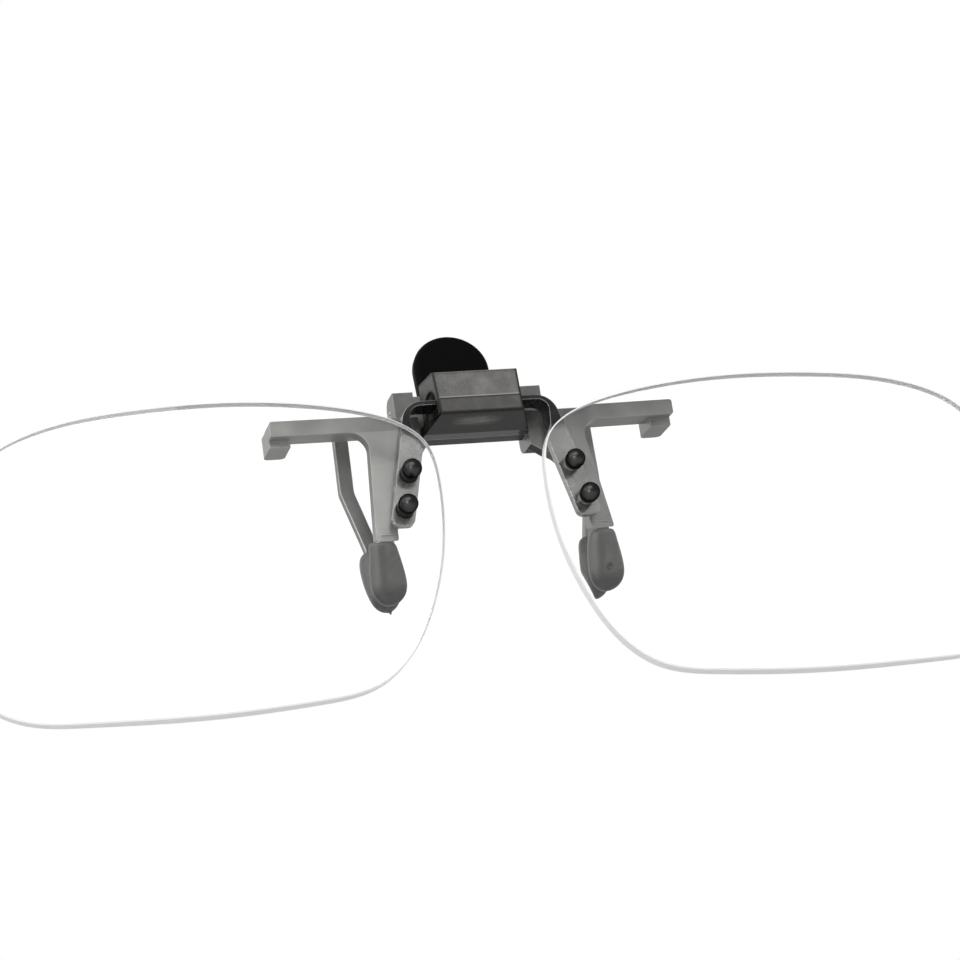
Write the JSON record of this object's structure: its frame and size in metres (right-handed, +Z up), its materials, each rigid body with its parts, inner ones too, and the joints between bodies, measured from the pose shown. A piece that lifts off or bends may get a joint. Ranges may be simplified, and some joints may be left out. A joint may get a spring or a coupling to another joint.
{
  "type": "clip-on eyeglass loupe",
  "caption": "Rimless magnifying lenses on a flip-up carrier, with a sprung clip whose soft tips grip the wearer's own spectacles",
  "frame": {"origin": "middle of the grip, midway between the left and right pairs of soft tips, on the plane of the front tips' gripping faces", "axes": "X to the right as seen from the front, Y back towards the wearer, Z up; left nodes are at negative X"},
  "size_m": [0.1232, 0.0152, 0.0462],
  "materials": {
    "clip_metal": "satin grey lacquer",
    "carrier_metal": "gloss black lacquer",
    "grain_plastic": "fine moulded grain",
    "gloss_plastic": "smooth gloss",
    "steel": "plain wire and pin steel",
    "stud_steel": "black-plated, polished ball",
    "clear_lens": "clear coated acrylic",
    "tip_silicone": "soft translucent grey silicone",
    "black_nylon": "black nylon",
    "pad_rubber": "black moulded rubber"
  },
  "bodies": {
    "clip_front": {"front_jaw": "clip_metal", "hinge_cradle": "gloss_plastic", "hinge_cover": "grain_plastic", "detent_spring": "steel", "cradle_screws": "steel", "jaw_pin": "steel", "jaw_spring": "steel", "front_tip_left": "tip_silicone", "front_tip_right": "tip_silicone"},
    "clip_rear": {"rear_jaw": "clip_metal", "thumb_pad": "pad_rubber", "rear_tip_left": "tip_silicone", "rear_tip_right": "tip_silicone"},
    "lenses": {"lens_carrier": "carrier_metal", "lens_left": "clear_lens", "lens_right": "clear_lens", "stud_upper_left": "stud_steel", "stud_lower_left": "stud_steel", "stud_upper_right": "stud_steel", "stud_lower_right": "stud_steel", "washer_upper_left": "black_nylon", "washer_lower_left": "black_nylon", "washer_upper_right": "black_nylon", "washer_lower_right": "black_nylon", "grommet_upper_left": "black_nylon", "grommet_lower_left": "black_nylon", "grommet_upper_right": "black_nylon", "grommet_lower_right": "black_nylon", "retainer_upper_left": "black_nylon", "retainer_lower_left": "black_nylon", "retainer_upper_right": "black_nylon", "retainer_lower_right": "black_nylon"}
  },
  "joints": [
    {"name": "flip", "type": "hinge", "parent": "clip_front", "child": "lenses", "pos_m": [0, -0.0031, 0.01905], "axis": [-1, 0, 0], "range_deg": [0, 90], "deforming": ["detent_spring"]},
    {"name": "jaw", "type": "hinge", "parent": "clip_front", "child": "clip_rear", "pos_m": [0, 0.002, 0.0199], "axis": [1, 0, 0], "range_deg": [0, 16], "stiffness_Nm_per_rad": 0.08, "springref_deg": -20.05, "deforming": ["jaw_spring"]}
  ]
}
